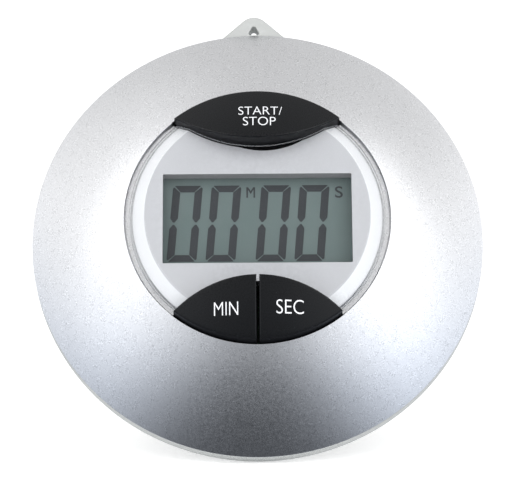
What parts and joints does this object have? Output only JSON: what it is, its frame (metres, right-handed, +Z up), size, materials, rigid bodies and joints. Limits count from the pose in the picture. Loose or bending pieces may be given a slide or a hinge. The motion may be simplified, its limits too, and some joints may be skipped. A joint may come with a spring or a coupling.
{
  "type": "digital kitchen timer",
  "caption": "Round domed countdown timer with a display window, three press keys, a hanging tab, back magnets and a fold-out stand.",
  "frame": {"origin": "bottom centre of the bounding box, on the surface that the timer stands on with its stand open", "axes": "-Y towards the user in front of the face, +X to the user's right, +Z up; the face leans back 30 degrees from upright"},
  "size_m": [0.09, 0.0536, 0.0827],
  "materials": {
    "silver_shell": "satin metallic silver paint",
    "cover_plastic": "fine moulded texture",
    "clear_lens": "polished clear",
    "mask_paint": "satin",
    "key_black": "gloss",
    "display_glass": "polished",
    "display_film": "satin grey-green film",
    "reflector_foil": "satin silver film",
    "frame_plastic": "matte",
    "grey_rubber": "matte",
    "white_silicone": "matte",
    "board_laminate": "solder resist",
    "black_epoxy": "satin",
    "tinned_metal": "plated",
    "ceramic": "matte",
    "brass": "satin",
    "steel": "zinc plated",
    "magnet_nickel": "nickel plated",
    "red_wire": "satin",
    "black_wire": "satin"
  },
  "bodies": {
    "case": {"front_shell": "silver_shell", "back_cover": "cover_plastic", "stand_pin": "steel", "magnet_upper": "magnet_nickel", "magnet_lower": "magnet_nickel", "case_screw_1": "steel", "case_screw_2": "steel", "case_screw_3": "steel", "case_screw_4": "steel", "lens": "clear_lens", "display_mask": "mask_paint", "lcd_polarizer": "display_film", "lcd_glass": "display_glass", "lcd_reflector": "reflector_foil", "lcd_frame": "frame_plastic", "zebra_strip_upper": "grey_rubber", "zebra_strip_lower": "grey_rubber", "key_dome_start_stop": "white_silicone", "key_dome_minutes": "white_silicone", "key_dome_seconds": "white_silicone", "circuit_board": "board_laminate", "controller_chip": "black_epoxy", "timing_crystal": "tinned_metal", "chip_capacitor_1": "ceramic", "chip_capacitor_2": "ceramic", "buzzer_disc": "brass", "buzzer_ceramic": "ceramic", "buzzer_lead_1": "red_wire", "buzzer_lead_2": "black_wire", "battery_cell": "tinned_metal", "battery_contact_top": "tinned_metal", "battery_contact_side": "tinned_metal", "board_screw_1": "steel", "board_screw_2": "steel", "board_screw_3": "steel", "board_screw_4": "steel"},
    "start_stop_key": {"start_stop_button": "key_black"},
    "minutes_key": {"minutes_button": "key_black"},
    "seconds_key": {"seconds_button": "key_black"},
    "stand_leg": {"stand": "cover_plastic"},
    "door": {"battery_door": "cover_plastic"}
  },
  "joints": [
    {"name": "start_stop_press", "type": "slide", "parent": "case", "child": "start_stop_key", "axis": [0, 0.866, -0.5], "range_m": [0, 0.0008], "stiffness_N_per_m": 1500, "deforming": ["key_dome_start_stop"]},
    {"name": "minutes_press", "type": "slide", "parent": "case", "child": "minutes_key", "axis": [0, 0.866, -0.5], "range_m": [0, 0.0008], "stiffness_N_per_m": 1500, "deforming": ["key_dome_minutes"]},
    {"name": "seconds_press", "type": "slide", "parent": "case", "child": "seconds_key", "axis": [0, 0.866, -0.5], "range_m": [0, 0.0008], "stiffness_N_per_m": 1500, "deforming": ["key_dome_seconds"]},
    {"name": "stand_fold", "type": "hinge", "parent": "case", "child": "stand_leg", "pos_m": [0, 0.01057, 0.05682], "axis": [-1, 0, 0], "range_deg": [0, 41.58]},
    {"name": "door_turn", "type": "hinge", "parent": "case", "child": "door", "pos_m": [0.0282, 0.00195, 0.0387], "axis": [0, 0.866, -0.5], "range_deg": [0, 45]}
  ]
}
